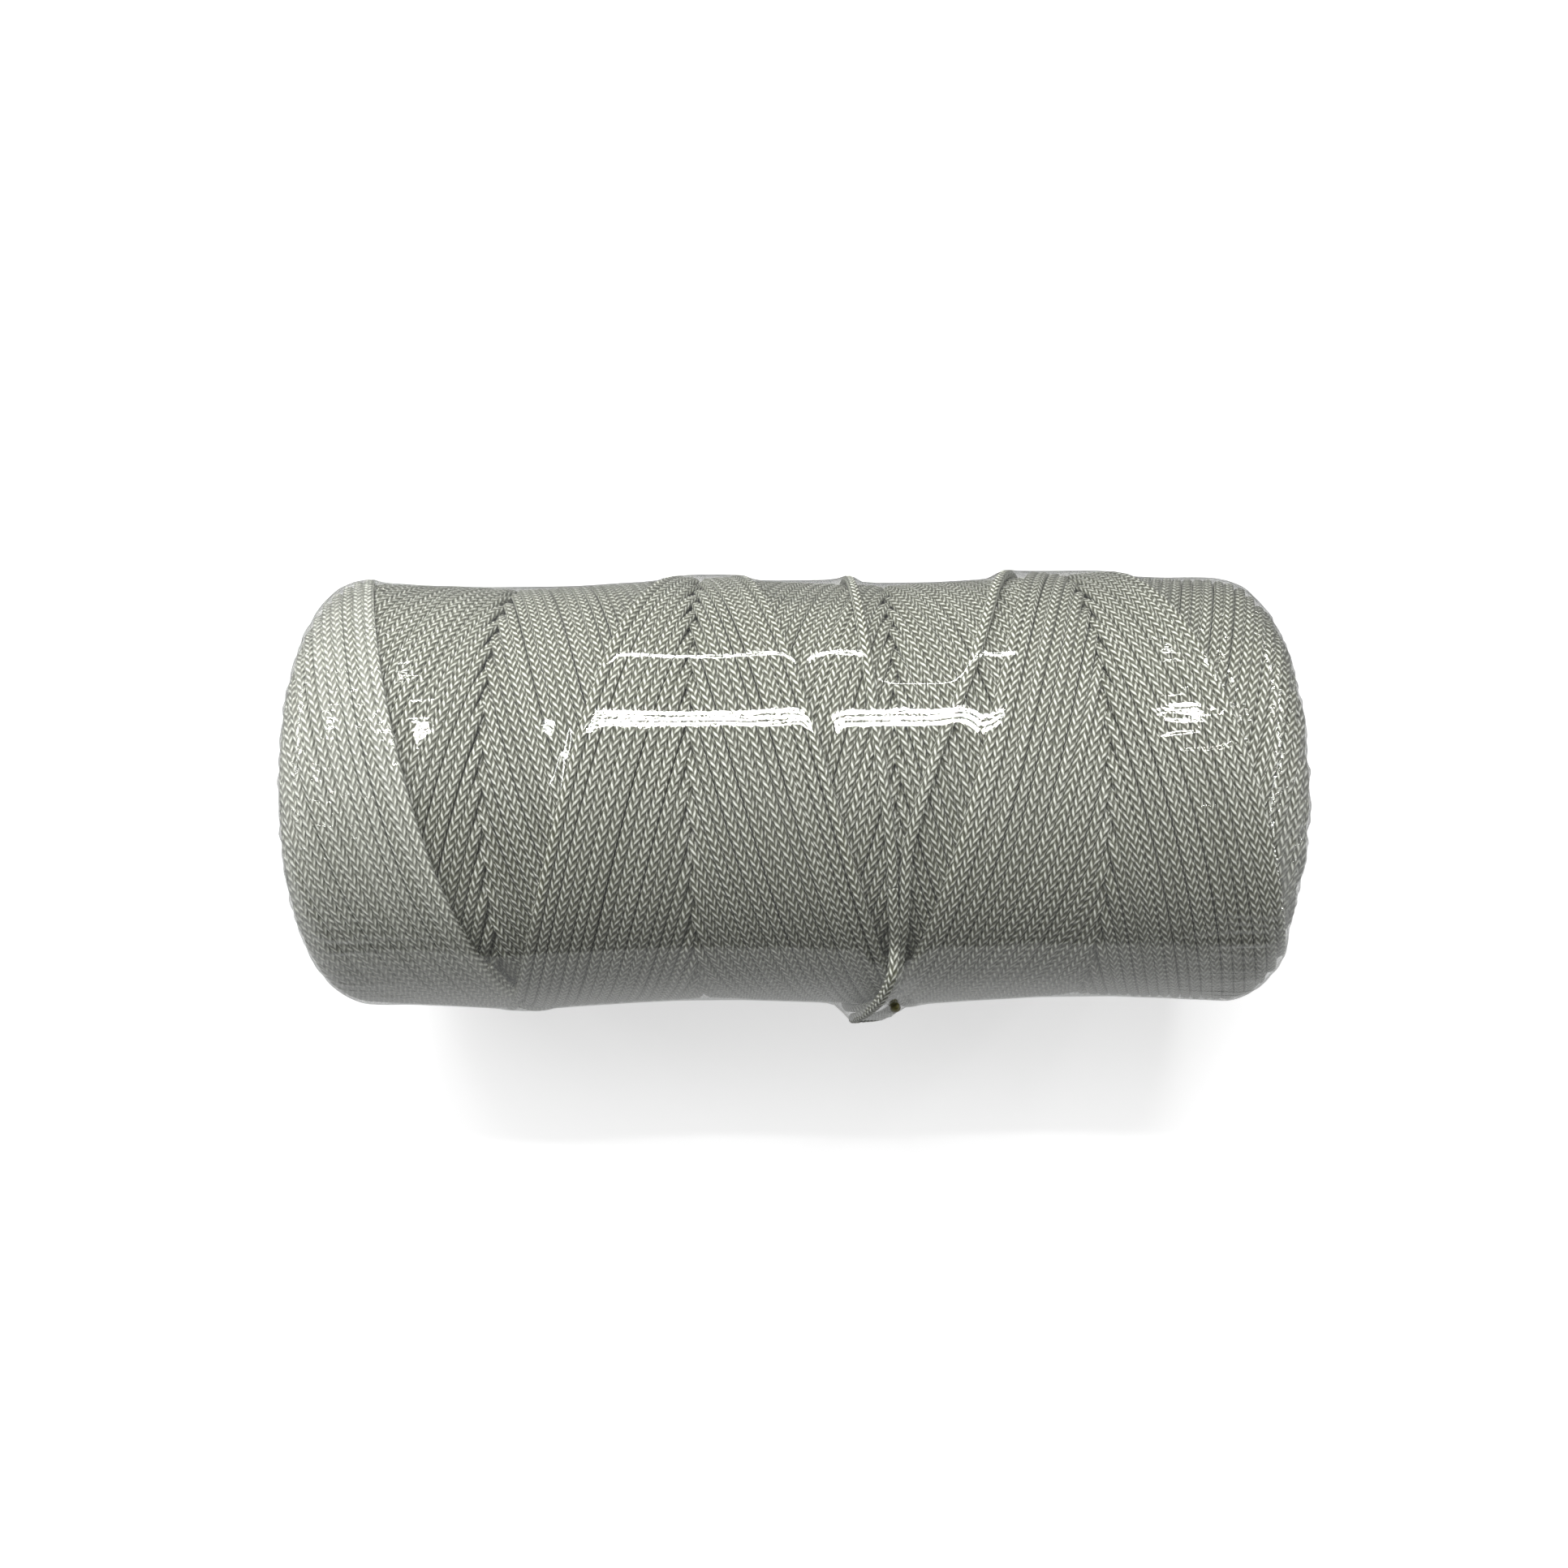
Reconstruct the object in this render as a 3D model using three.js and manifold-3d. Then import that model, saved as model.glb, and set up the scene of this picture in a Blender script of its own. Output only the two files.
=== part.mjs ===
// A precision-wound package of braided cord on a paperboard tube, shrink-wrapped in clear film.
// It lies on its side. Millimetres, +Z up. The tube's axis runs along X.
// Angles round the package are in degrees from the top, growing towards -Y.
import * as THREE from 'three';
import { mergeVertices } from 'three/addons/utils/BufferGeometryUtils.js';
import Module from 'manifold-3d';

const wasm = await Module();
wasm.setup();

// Driving sizes.
const WOUND_LENGTH = 172;
const FILM_RADIUS = 41.5;
const FILM_WALL = 0.4;
const GAP = 0.3;
const CORD_RADIUS = 0.95;
const BORE_RADIUS = 15;
const TUBE_RADIUS = 18;
const FACETS = 36;

// The winding: the cord runs to and fro in five columns, which meet at crossing circles.
const COLUMNS = 5;
const COLUMN_WIDTH = WOUND_LENGTH / COLUMNS;
const WOUND_RADIUS = 40.6;
const FOLDED_RADIUS = 35;
const AGE_DROP = 3.4;
const FULL_TURN = 360;
const HALF_TURN = 180;
const ADVANCE = COLUMN_WIDTH / HALF_TURN;
const FIRST_MEETING = 65;
const END_SHOULDER = 7;
const END_MARGIN = 1.5;

// The film: its shoulders, the hole that it leaves at each end, and its lift over the hitch.
const FILM_SHOULDER = 7;
const FILM_HOLE_RADIUS = 23;
const HITCH = { x: 13, angle: 66, halfLength: 13, halfAngle: 48, lift: 2.6 };

const radians = THREE.MathUtils.degToRad;
const facetStep = FULL_TURN / FACETS;
const axisHeight = FILM_RADIUS * Math.cos(radians(facetStep / 2));

function onWinding(x, angle, radius) {
  const turn = radians(angle);
  return new THREE.Vector3(x, -radius * Math.sin(turn), radius * Math.cos(turn));
}

function material(color, roughness, metalness = 0) {
  return new THREE.MeshStandardMaterial({ color, roughness, metalness });
}

const finishes = {
  paperboard: material(0xb59a74, 0.9),
  liner: material(0xa58a66, 0.85),
  cord: material(0xc9ccc4, 0.45),
  innerCord: material(0xb4b8ae, 0.5),
  sealedEnd: material(0x7d7a36, 0.35),
  film: material(0xe6eae8, 0.08),
};

// Solids and joins.

function toSolid(geometry) {
  const bare = geometry.clone();
  bare.deleteAttribute('normal');
  bare.deleteAttribute('uv');
  const merged = mergeVertices(bare);
  return new wasm.Manifold(new wasm.Mesh({
    numProp: 3,
    vertProperties: new Float32Array(merged.attributes.position.array),
    triVerts: new Uint32Array(merged.index.array),
  }));
}

function toGeometry(solid) {
  const mesh = solid.getMesh();
  const geometry = new THREE.BufferGeometry();
  geometry.setAttribute('position', new THREE.BufferAttribute(new Float32Array(mesh.vertProperties), 3));
  geometry.setIndex(new THREE.BufferAttribute(new Uint32Array(mesh.triVerts), 1));
  geometry.computeVertexNormals();
  return geometry;
}

function cutBy(geometry, cutters) {
  let solid = toSolid(geometry);
  for (const cutter of cutters) {
    solid = solid.subtract(toSolid(cutter));
  }
  return toGeometry(solid);
}

// A body of revolution round the package's axis, from a closed profile of (radius, x) points.
// Its facets are centred on the top and the bottom, so it has a flat to rest on.
function turned(profile) {
  const points = profile.map(([radius, x]) => new THREE.Vector2(radius, x));
  points.push(points[0].clone());
  const geometry = new THREE.LatheGeometry(points, FACETS, radians(facetStep / 2));
  geometry.rotateZ(-Math.PI / 2);
  return geometry;
}

function ring(innerRadius, outerRadius, length) {
  const half = length / 2;
  return turned([
    [outerRadius, -half],
    [outerRadius, half],
    [innerRadius, half],
    [innerRadius, -half],
  ]);
}

// The two lays of a column share it along a zigzag edge, once round the package. The newest cords
// lie along that edge, and each lay gets older, and so lower, away from it.
function columnStart(column) {
  return -WOUND_LENGTH / 2 + column * COLUMN_WIDTH;
}

function meetingAngle(column) {
  return column % 2 === 0 ? FIRST_MEETING - HALF_TURN : FIRST_MEETING;
}

// How far the edge stands from the column's first circle, at an angle past the meeting angle.
function edgeOffset(pastMeeting) {
  const rising = pastMeeting <= HALF_TURN;
  return ADVANCE * (rising ? pastMeeting : FULL_TURN - pastMeeting);
}

function shoulderRadius(x) {
  const inShoulder = Math.max(0, END_SHOULDER - (WOUND_LENGTH / 2 - Math.abs(x)));
  return WOUND_RADIUS - END_SHOULDER + Math.sqrt(END_SHOULDER ** 2 - inShoulder ** 2);
}

// The winding's outside. The forward lay moves to +X as it goes round and starts at the first
// circle. The return lay starts at the second circle, half a turn later.
function outsideRadius(lay, offset, pastMeeting, x) {
  const turned = lay === 'forward' ? pastMeeting : (pastMeeting + HALF_TURN) % FULL_TURN;
  const travelled = (lay === 'forward' ? offset : COLUMN_WIDTH - offset) / ADVANCE;
  const age = Math.max(0, turned - travelled) / FULL_TURN;
  return Math.min(WOUND_RADIUS - AGE_DROP * age, shoulderRadius(x));
}

// One lay's band: a slab wrapped once round, pointed at both ends, where its column's edge
// reaches the circle that the lay starts from.
function layBand(column, lay) {
  const atEnd = column === 0 || column === COLUMNS - 1;
  const across = atEnd ? 5 : 1;
  const pointSteps = atEnd ? 2 : 1;
  const along = FACETS - 2 * pointSteps;
  const halfLength = WOUND_LENGTH / 2 - END_MARGIN;
  const slab = new THREE.BoxGeometry(1, 1, 1, across, along, 1);
  const position = slab.attributes.position;
  const first = columnStart(column);
  const pointAngle = lay === 'forward' ? 0 : HALF_TURN;
  for (let i = 0; i < position.count; i += 1) {
    const stretch = facetStep * (pointSteps + (0.5 - position.getY(i)) * along);
    const pastMeeting = (pointAngle + stretch) % FULL_TURN;
    const edge = edgeOffset(pastMeeting);
    const low = (lay === 'forward' ? 0 : edge) + GAP / 2;
    const high = (lay === 'forward' ? edge : COLUMN_WIDTH) - GAP / 2;
    const lowX = Math.max(first + low, -halfLength);
    const highX = Math.min(first + high, halfLength);
    const x = THREE.MathUtils.lerp(lowX, highX, position.getX(i) + 0.5);
    const outside = outsideRadius(lay, x - first, pastMeeting, x);
    const radius = position.getZ(i) > 0 ? outside : FOLDED_RADIUS + 2 * GAP;
    const place = onWinding(x, meetingAngle(column) + pastMeeting, radius);
    position.setXYZ(i, place.x, place.y, place.z);
  }
  slab.computeVertexNormals();
  return slab;
}

// A route over the winding, through hand-set stations of x, angle and radius.
class WindingRoute extends THREE.Curve {
  constructor(stations) {
    super();
    const points = stations.map(([x, angle, radius]) => new THREE.Vector3(x, angle, radius));
    this.stations = new THREE.CatmullRomCurve3(points, false, 'centripetal');
  }

  getPoint(t, target = new THREE.Vector3()) {
    const station = this.stations.getPoint(t);
    return target.copy(onWinding(station.x, station.y, station.z));
  }
}

function cordAlong(route, radius, steps) {
  const sides = 8;
  const section = new THREE.Shape();
  for (let i = 0; i < sides; i += 1) {
    const turn = (i * 2 * Math.PI) / sides;
    const [x, y] = [radius * Math.cos(turn), radius * Math.sin(turn)];
    if (i === 0) {
      section.moveTo(x, y);
    } else {
      section.lineTo(x, y);
    }
  }
  return new THREE.ExtrudeGeometry(section, { steps, bevelEnabled: false, extrudePath: route });
}

// The last turn leaves the winding in the valley where the edges meet, goes once round over the
// other turns, and comes back to the same valley.
const outerTurnRoute = new WindingRoute([
  [18.4, 28, 38.6],
  [17.6, 42, 39.4],
  [15.8, 57, 39.8],
  [13.2, 70, 39.7],
  [10.6, 82, 39.6],
  [9.8, 100, 39.7],
  [9.8, 150, 39.8],
  [9.9, 200, 39.7],
  [10.1, 250, 39.3],
  [10.6, 288, 38.9],
  [12.0, 324, 38.5],
  [14.5, 357, 38.3],
  [16.2, 380, 38.6],
]);

// Its end crosses over its own start in a half hitch, and points back to the valley.
const hitchRoute = new WindingRoute([
  [16.3, 21.2, 38.75],
  [16.5, 30, 40.2],
  [17.4, 42, 41.7],
  [17.2, 55, 41.9],
  [15.5, 68, 41.75],
  [12.9, 77, 41.85],
  [11.0, 83, 42.0],
  [10.9, 88, 41.8],
  [13.6, 88, 41.2],
  [16.6, 80, 41.3],
  [18.0, 72, 41.5],
]);

// The start of the cord lies along the tube, held under the first turns.
const startRoute = new THREE.LineCurve3(
  onWinding(-62, 200, TUBE_RADIUS + GAP + 1.1),
  onWinding(-22, 200, TUBE_RADIUS + GAP + 1.1),
);

function sealedTip() {
  const length = 2.4;
  const nose = new THREE.LatheGeometry([
    new THREE.Vector2(0, 0),
    new THREE.Vector2(CORD_RADIUS, 0),
    new THREE.Vector2(CORD_RADIUS * 0.95, length * 0.6),
    new THREE.Vector2(CORD_RADIUS * 0.6, length),
    new THREE.Vector2(0, length * 1.08),
  ], 12);
  const end = hitchRoute.getPoint(1);
  const heading = hitchRoute.getTangent(1);
  nose.applyQuaternion(new THREE.Quaternion().setFromUnitVectors(new THREE.Vector3(0, 1, 0), heading));
  const start = end.addScaledVector(heading, GAP);
  nose.translate(start.x, start.y, start.z);
  return nose;
}

// The film's outline from hole to hole on one side of its wall, as (radius, x) points.
function filmOutline(radius, halfLength) {
  const side = [
    [FILM_HOLE_RADIUS, halfLength],
    [radius - FILM_SHOULDER, halfLength],
  ];
  for (const turn of [30, 60, 90]) {
    side.push([
      radius - FILM_SHOULDER + FILM_SHOULDER * Math.sin(radians(turn)),
      halfLength - FILM_SHOULDER + FILM_SHOULDER * Math.cos(radians(turn)),
    ]);
  }
  const stretch = 2 * HITCH.halfLength;
  const stations = [48, HITCH.x + HITCH.halfLength];
  for (let x = HITCH.x + HITCH.halfLength - stretch / 8; x > HITCH.x - HITCH.halfLength; x -= stretch / 8) {
    stations.push(x);
  }
  stations.push(HITCH.x - HITCH.halfLength, -43);
  const mirrored = side.map(([r, x]) => [r, -x]).reverse();
  return [...side, ...stations.map((x) => [radius, x]), ...mirrored].reverse();
}

function hitchLift(x, angle) {
  const along = (x - HITCH.x) / HITCH.halfLength;
  const round = (angle - HITCH.angle) / HITCH.halfAngle;
  const distance = Math.max(Math.abs(along), Math.abs(round));
  return HITCH.lift * (1 - THREE.MathUtils.smoothstep(distance, 0.6, 1));
}

function filmWrap() {
  const halfLength = WOUND_LENGTH / 2 + GAP;
  const outside = filmOutline(FILM_RADIUS, halfLength + FILM_WALL);
  const inside = filmOutline(FILM_RADIUS - FILM_WALL, halfLength);
  const wall = turned([...outside, ...inside.reverse()]);
  const position = wall.attributes.position;
  for (let i = 0; i < position.count; i += 1) {
    const place = new THREE.Vector3().fromBufferAttribute(position, i);
    const radius = Math.hypot(place.y, place.z);
    const angle = THREE.MathUtils.radToDeg(Math.atan2(-place.y, place.z));
    const lifted = onWinding(place.x, angle, radius + hitchLift(place.x, angle));
    position.setXYZ(i, lifted.x, lifted.y, lifted.z);
  }
  wall.computeVertexNormals();
  return wall;
}

// The assembly.

const cordReel = new THREE.Group();
const wound = new THREE.Group();
wound.position.z = axisHeight;
cordReel.add(wound);

function add(name, geometry, finish) {
  const mesh = new THREE.Mesh(geometry, finish);
  mesh.name = name;
  wound.add(mesh);
}

const linerOutside = BORE_RADIUS + 0.7;
const wallOutside = TUBE_RADIUS - 0.9;
add('core_tube_liner', ring(BORE_RADIUS, linerOutside, WOUND_LENGTH), finishes.liner);
add('core_tube_wall', ring(linerOutside + GAP, wallOutside, WOUND_LENGTH), finishes.paperboard);
add('core_tube_cover', ring(wallOutside + GAP, TUBE_RADIUS, WOUND_LENGTH), finishes.liner);

add('starting_end', cordAlong(startRoute, CORD_RADIUS, 16), finishes.cord);
const layerNames = ['inner', 'middle', 'outer'];
const layerDepth = (FOLDED_RADIUS - TUBE_RADIUS) / layerNames.length;
const layerLength = WOUND_LENGTH - 2 * GAP;
layerNames.forEach((name, i) => {
  const inside = TUBE_RADIUS + i * layerDepth + GAP;
  const layers = ring(inside, TUBE_RADIUS + (i + 1) * layerDepth, layerLength);
  const startGroove = cordAlong(startRoute, CORD_RADIUS + GAP, 1);
  add(`winding_${name}_layers`, i === 0 ? cutBy(layers, [startGroove]) : layers, finishes.innerCord);
});

const turnGrooves = [
  cordAlong(outerTurnRoute, CORD_RADIUS + GAP, 56),
  cordAlong(hitchRoute, CORD_RADIUS + GAP, 36),
];
const middleColumn = (COLUMNS - 1) / 2;
for (let column = 0; column < COLUMNS; column += 1) {
  const underTurn = column === middleColumn || column === middleColumn + 1;
  for (const lay of ['forward', 'return']) {
    const band = layBand(column, lay);
    const shape = underTurn ? cutBy(band, turnGrooves) : band;
    add(`column_${column + 1}_${lay}_band`, shape, finishes.cord);
  }
}

add('outer_turn', cordAlong(outerTurnRoute, CORD_RADIUS, 56), finishes.cord);
add('hitch_strand', cordAlong(hitchRoute, CORD_RADIUS, 36), finishes.cord);
add('sealed_tip', sealedTip(), finishes.sealedEnd);
add('film_wrap', filmWrap(), finishes.film);

export default cordReel;
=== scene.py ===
"""A cross-wound package of braided cord on a paperboard tube, tied off and shrink-wrapped in clear film."""
import math

import bmesh
import bpy
import numpy as np
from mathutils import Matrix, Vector


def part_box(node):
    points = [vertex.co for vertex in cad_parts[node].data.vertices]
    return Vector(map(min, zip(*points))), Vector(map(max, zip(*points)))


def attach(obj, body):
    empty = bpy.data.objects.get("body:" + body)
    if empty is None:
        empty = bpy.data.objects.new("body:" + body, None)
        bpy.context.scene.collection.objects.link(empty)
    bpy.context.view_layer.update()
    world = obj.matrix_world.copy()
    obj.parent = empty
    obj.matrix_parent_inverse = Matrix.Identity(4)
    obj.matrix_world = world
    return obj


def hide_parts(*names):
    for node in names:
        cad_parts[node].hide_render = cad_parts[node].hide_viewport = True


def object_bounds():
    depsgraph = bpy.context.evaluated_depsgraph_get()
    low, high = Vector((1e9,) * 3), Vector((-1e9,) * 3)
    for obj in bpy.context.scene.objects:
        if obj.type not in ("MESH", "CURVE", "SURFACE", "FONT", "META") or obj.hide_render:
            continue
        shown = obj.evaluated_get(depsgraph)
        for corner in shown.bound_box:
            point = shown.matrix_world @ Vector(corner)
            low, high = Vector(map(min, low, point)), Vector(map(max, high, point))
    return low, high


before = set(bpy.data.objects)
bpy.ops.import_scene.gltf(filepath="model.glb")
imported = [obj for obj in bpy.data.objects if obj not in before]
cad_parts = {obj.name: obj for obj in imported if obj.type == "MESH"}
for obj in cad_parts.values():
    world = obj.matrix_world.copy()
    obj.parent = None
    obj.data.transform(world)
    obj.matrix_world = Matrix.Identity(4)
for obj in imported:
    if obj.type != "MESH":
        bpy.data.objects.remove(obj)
cad_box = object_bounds()
bpy.ops.object.select_all(action="DESELECT")

MM = 0.001
RNG = np.random.default_rng(36)

# The package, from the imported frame.
tube_low, tube_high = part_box("core_tube_cover")
AXIS_Z = (tube_low.z + tube_high.z) / 2
HALF_LENGTH = tube_high.x
REST_Z = cad_box[0][2]
PRESSED = 0.12 * MM

# The winding, in metres and degrees. Angles are from the top and grow towards -Y. Each column has the
# angle at which the newest cord of its forward lay enters, from the left, and of its return lay, from the
# right.
COLUMNS = 5
COLUMN_WIDTH = 2 * HALF_LENGTH / COLUMNS
ADVANCE = COLUMN_WIDTH / 180
FORWARD_MEETS = [-118, 62, -120, 60, -120]
RETURN_MEETS = [75, -104, 66, -114, 66]
STROKES = 36
STROKE_ANGLE = 10
TOP_RADIUS = 41.0 * MM
AGE_DROP = 3.4 * MM
AGE_CURVE = 0.8
LAYER = 1.7 * MM
SHOULDER = 7 * MM
SHOULDER_INSET = 0.6 * MM
END_INSET = 0.9 * MM
TURN_INSET = 0.95 * MM
LOWEST_RADIUS = 33.2 * MM
TUCKED_AT_A_CIRCLE = 11
TUCKED_AT_AN_END = 17
ROUTE_STEP = 0.5

# How far each cord strays from its even place, and its tone: below 0 it gets painted light, above 0 it is
# worn darker at random.
STRAY_ALONG = 0.055 * MM
STRAY_OUT = 0.04 * MM
STRAY_ROLL = 0.16 * MM
PAINTED_LIGHT_TONES = (-1, -0.4)
WORN_TONES = (0.2, 1)

# The cord: an eight-strand braid, a little flattened where it is packed.
CORD_HALF_WIDTH = 0.98 * MM
CORD_HALF_HEIGHT = 0.86 * MM
PICK = 1.68 * MM
PLAIT_WIDTH = 0.78 * MM
STRAND_TILT = 0.62
STRAND_RELIEF = 0.13 * MM
MEAN_RADIUS = (CORD_HALF_WIDTH + CORD_HALF_HEIGHT) / 2
ROLLING = 0.12 * MM
ROLLING_LENGTH = 23 * MM
RING_STEP = PICK / 4
RING_ANGLES = np.radians([-145, -95, -58, -28, 0, 28, 58, 95, 145])
SQUARENESS = 0.74
GIRTH_IN_PLAITS = 2 * math.pi * 0.9 * MM / PLAIT_WIDTH


def place(x, angle, radius):
    """Points in the row frame from places along, round and out from the axis."""
    turn = np.radians(angle)
    return np.stack([x, -radius * np.sin(turn), AXIS_Z + radius * np.cos(turn)], axis=-1)


def start_angle(column, forward):
    """The angle at which the newest cord of a lay enters its column."""
    return FORWARD_MEETS[column] if forward else RETURN_MEETS[column]


def column_start(column):
    """Where along the package a column begins."""
    return -HALF_LENGTH + column * COLUMN_WIDTH


def aged_radius(age):
    """Centre radius of a cord laid this many strokes ago: older cords lie lower."""
    share = np.clip(age / STROKES, 0, 1)
    return TOP_RADIUS - CORD_HALF_HEIGHT - AGE_DROP * share ** AGE_CURVE


def shoulder_radius(x):
    """Centre radius that the rounded ends of the package allow."""
    inset = SHOULDER - (HALF_LENGTH - SHOULDER_INSET - np.abs(x))
    inset = np.clip(inset, 0, SHOULDER)
    return TOP_RADIUS - CORD_HALF_HEIGHT - SHOULDER + np.sqrt(SHOULDER ** 2 - inset ** 2)


def smoothstep(value, low, high):
    """Rises smoothly from 0 at low to 1 at high."""
    share = np.clip((value - low) / (high - low), 0, 1)
    return share * share * (3 - 2 * share)


# Cord meshes.


def resampled(points, step):
    """The same route with its points evenly spaced, and the length along it at each point."""
    lengths = np.concatenate([[0], np.cumsum(np.linalg.norm(np.diff(points, axis=0), axis=1))])
    count = max(4, int(round(lengths[-1] / step)) + 1)
    along = np.linspace(0, lengths[-1], count)
    return np.stack([np.interp(along, lengths, points[:, i]) for i in range(3)], axis=1), along


def outward_from_axis(points):
    """Unit directions from the package's axis to the points."""
    outward = points - np.array([0, 0, AXIS_Z])
    outward[:, 0] = 0
    return outward / np.linalg.norm(outward, axis=1, keepdims=True)


def braid_rings(route, step=RING_STEP, outward=None, start=0.0, roll=0.0, tone=0.5):
    """Rings of points round a route, raised where the braid's strands come to the surface."""
    points, along = resampled(route, step)
    tangent = np.gradient(points, axis=0)
    tangent /= np.linalg.norm(tangent, axis=1, keepdims=True)
    out = outward_from_axis(points) if outward is None else np.tile(outward, (len(points), 1))
    out -= tangent * np.sum(out * tangent, axis=1, keepdims=True)
    out /= np.linalg.norm(out, axis=1, keepdims=True)
    side = np.cross(tangent, out)
    angles = RING_ANGLES[None, :]
    across = angles * MEAN_RADIUS
    rolling = ROLLING * np.sin(along / ROLLING_LENGTH + 40 * tone)
    plait = (across + roll + rolling[:, None]) / PLAIT_WIDTH
    pick = (along[:, None] / PICK + start) * np.ones_like(angles)
    fold = 1 - np.abs(plait % 2 - 1)
    phase = pick + STRAND_TILT * (fold - 0.5) + 0.5 * (np.floor(plait) % 2)
    raised = np.abs(np.sin(np.pi * plait)) * (0.5 + 0.5 * np.cos(2 * np.pi * phase))
    lift = STRAND_RELIEF * (raised - 0.5)
    width = (CORD_HALF_WIDTH + lift) * np.sin(angles)
    level = np.sign(np.cos(angles)) * np.abs(np.cos(angles)) ** SQUARENESS
    height = (CORD_HALF_HEIGHT + lift) * level
    rings = points[:, None] + side[:, None] * width[..., None] + out[:, None] * height[..., None]
    return {"rings": rings, "plait": plait, "pick": pick, "tone": tone}


def finished(name, mesh, material, replaced):
    """Links a piece with its material, hangs it on the root body and hides the imported part that it
    replaces.
    """
    piece = bpy.data.objects.new(name, mesh)
    bpy.context.scene.collection.objects.link(piece)
    mesh.materials.append(material)
    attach(piece, "root")
    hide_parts(replaced)
    return piece


def activate(piece):
    """Makes a piece the only one selected, and the active one."""
    bpy.ops.object.select_all(action="DESELECT")
    piece.select_set(True)
    bpy.context.view_layer.objects.active = piece


def mesh_from(name, vertices, faces, uv, tone=None):
    """A mesh of quads and triangles, with its own UV map in plaits and picks and a tone per point."""
    mesh = bpy.data.meshes.new(name)
    mesh.vertices.add(len(vertices))
    mesh.vertices.foreach_set("co", np.ascontiguousarray(vertices, np.float32).ravel())
    sizes = np.concatenate([np.full(len(f), f.shape[1]) for f in faces])
    corners = np.concatenate([f.ravel() for f in faces])
    mesh.loops.add(len(corners))
    mesh.loops.foreach_set("vertex_index", corners.astype(np.int32))
    mesh.polygons.add(len(sizes))
    starts = np.concatenate([[0], np.cumsum(sizes)[:-1]])
    mesh.polygons.foreach_set("loop_start", starts.astype(np.int32))
    mesh.update(calc_edges=True)
    layer = mesh.uv_layers.new(name="lay")
    layer.data.foreach_set("uv", np.ascontiguousarray(uv, np.float32).ravel())
    if tone is not None:
        attribute = mesh.attributes.new("tone", "FLOAT", "POINT")
        attribute.data.foreach_set("value", np.ascontiguousarray(tone, np.float32))
    mesh.shade_smooth()
    return mesh


def braid_mesh(name, cords):
    """One mesh of many closed cords."""
    around = len(RING_ANGLES)
    vertices, tones, quads, quad_uv, caps, cap_uv = [], [], [], [], [], []
    first = 0
    for cord in cords:
        rings = cord["rings"]
        rings[..., 2] = np.maximum(rings[..., 2], REST_Z + PRESSED)
        count = len(rings)
        vertices.append(rings.reshape(-1, 3))
        tones.append(np.full(count * around, cord["tone"]))
        row = np.arange(count - 1)[:, None] * around
        a = np.arange(around)[None, :]
        b = (a + 1) % around
        corners = [row + a, row + b, row + around + b, row + around + a]
        quads.append(first + np.stack(corners, axis=-1).reshape(-1, 4))
        plait = np.concatenate([cord["plait"], cord["plait"][:, :1] + GIRTH_IN_PLAITS], axis=1)
        pick = np.concatenate([cord["pick"], cord["pick"][:, :1]], axis=1)
        flat = np.stack([plait, pick], axis=-1)
        uv = [flat[:-1, :-1], flat[:-1, 1:], flat[1:, 1:], flat[1:, :-1]]
        quad_uv.append(np.stack(uv, axis=2).reshape(-1, 2))
        for start, order in ((0, -1), ((count - 1) * around, 1)):
            cap = first + start + np.arange(around)[::order]
            caps.append(cap[None, :])
            cap_uv.append(np.zeros((around, 2)))
        first += count * around
    faces = [np.concatenate(quads), np.concatenate(caps)]
    uv = np.concatenate(quad_uv + cap_uv)
    return mesh_from(name, np.concatenate(vertices), faces, uv, np.concatenate(tones))


# The winding's outer bands.


def dive(radius, below, amount):
    """Between lying on top and lying a layer under what crosses above."""
    return radius + (np.minimum(radius, below) - radius) * amount


def lay_route(column, forward, age):
    """One cord of a lay, from where it comes out at its first circle to where newer cords cover it."""
    newest = start_angle(column, forward)
    start = newest + STROKE_ANGLE * age
    other = newest + 180 + (start_angle(column, not forward) - newest - 180 + 180) % 360 - 180
    length = max((other - newest + 180 - STROKE_ANGLE * age) / 2, 4)
    at_an_end = column == (0 if forward else COLUMNS - 1)
    before = TUCKED_AT_AN_END if at_an_end else TUCKED_AT_A_CIRCLE
    angle = np.arange(start - before, start + length + TUCKED_AT_A_CIRCLE, ROUTE_STEP)
    travelled = ADVANCE * (angle - start)
    distance = np.hypot(travelled, TURN_INSET) if at_an_end else travelled
    x = column_start(column) + (distance if forward else COLUMN_WIDTH - distance)
    x = np.clip(x, -HALF_LENGTH + END_INSET, HALF_LENGTH - END_INSET)
    radius = np.full_like(angle, float(aged_radius(age)))
    # Near the start circle it goes under the cords that cross there.
    if at_an_end:
        under_start = 1 - smoothstep(travelled, -3.2 * MM, -0.6 * MM)
    else:
        under_start = 1 - smoothstep(travelled, -1.0 * MM, 1.6 * MM)
    radius = dive(radius, radius - LAYER, under_start)
    # Past the newest cords of the other lay it goes under them.
    other_age = (angle - other - (COLUMN_WIDTH - travelled) / ADVANCE) / STROKE_ANGLE
    past_front = ADVANCE * STROKE_ANGLE * other_age
    covered = smoothstep(past_front, -1.9 * MM, -0.5 * MM)
    radius = dive(radius, aged_radius(np.maximum(other_age, 0)) - LAYER, covered)
    drop = TOP_RADIUS - CORD_HALF_HEIGHT - shoulder_radius(x)
    radius = np.maximum(radius - drop, LOWEST_RADIUS)
    wobble = 0.05 * MM * np.sin(np.radians(angle) * 3.1 + 7 * age + column)
    return place(x + wobble, angle, radius)


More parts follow.
